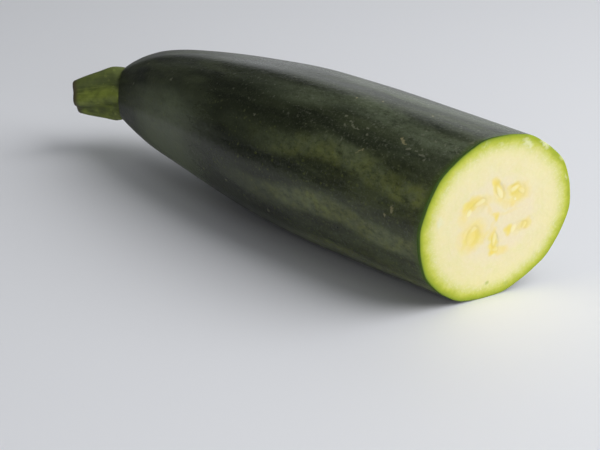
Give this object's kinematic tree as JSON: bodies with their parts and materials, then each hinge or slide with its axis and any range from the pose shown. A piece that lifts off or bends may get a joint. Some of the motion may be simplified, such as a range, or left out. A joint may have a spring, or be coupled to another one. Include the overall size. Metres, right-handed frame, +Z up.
{
  "type": "courgette",
  "caption": "Dark green courgette lying on its side, sliced across at one end to show pale flesh and seeds, with its ridged stem left on the other end.",
  "frame": {"origin": "middle of the bounding box in X and Y, on the plane that the courgette rests on", "axes": "+X along the fruit from the stem to the cut, +Z up"},
  "size_m": [0.1718, 0.049, 0.0463],
  "materials": {
    "skin": null,
    "flesh": null,
    "seed": null,
    "stem": "matt green stalk, browned at its cut end"
  },
  "bodies": {
    "root": {"fruit": "skin", "stem": "stem"}
  },
  "joints": []
}
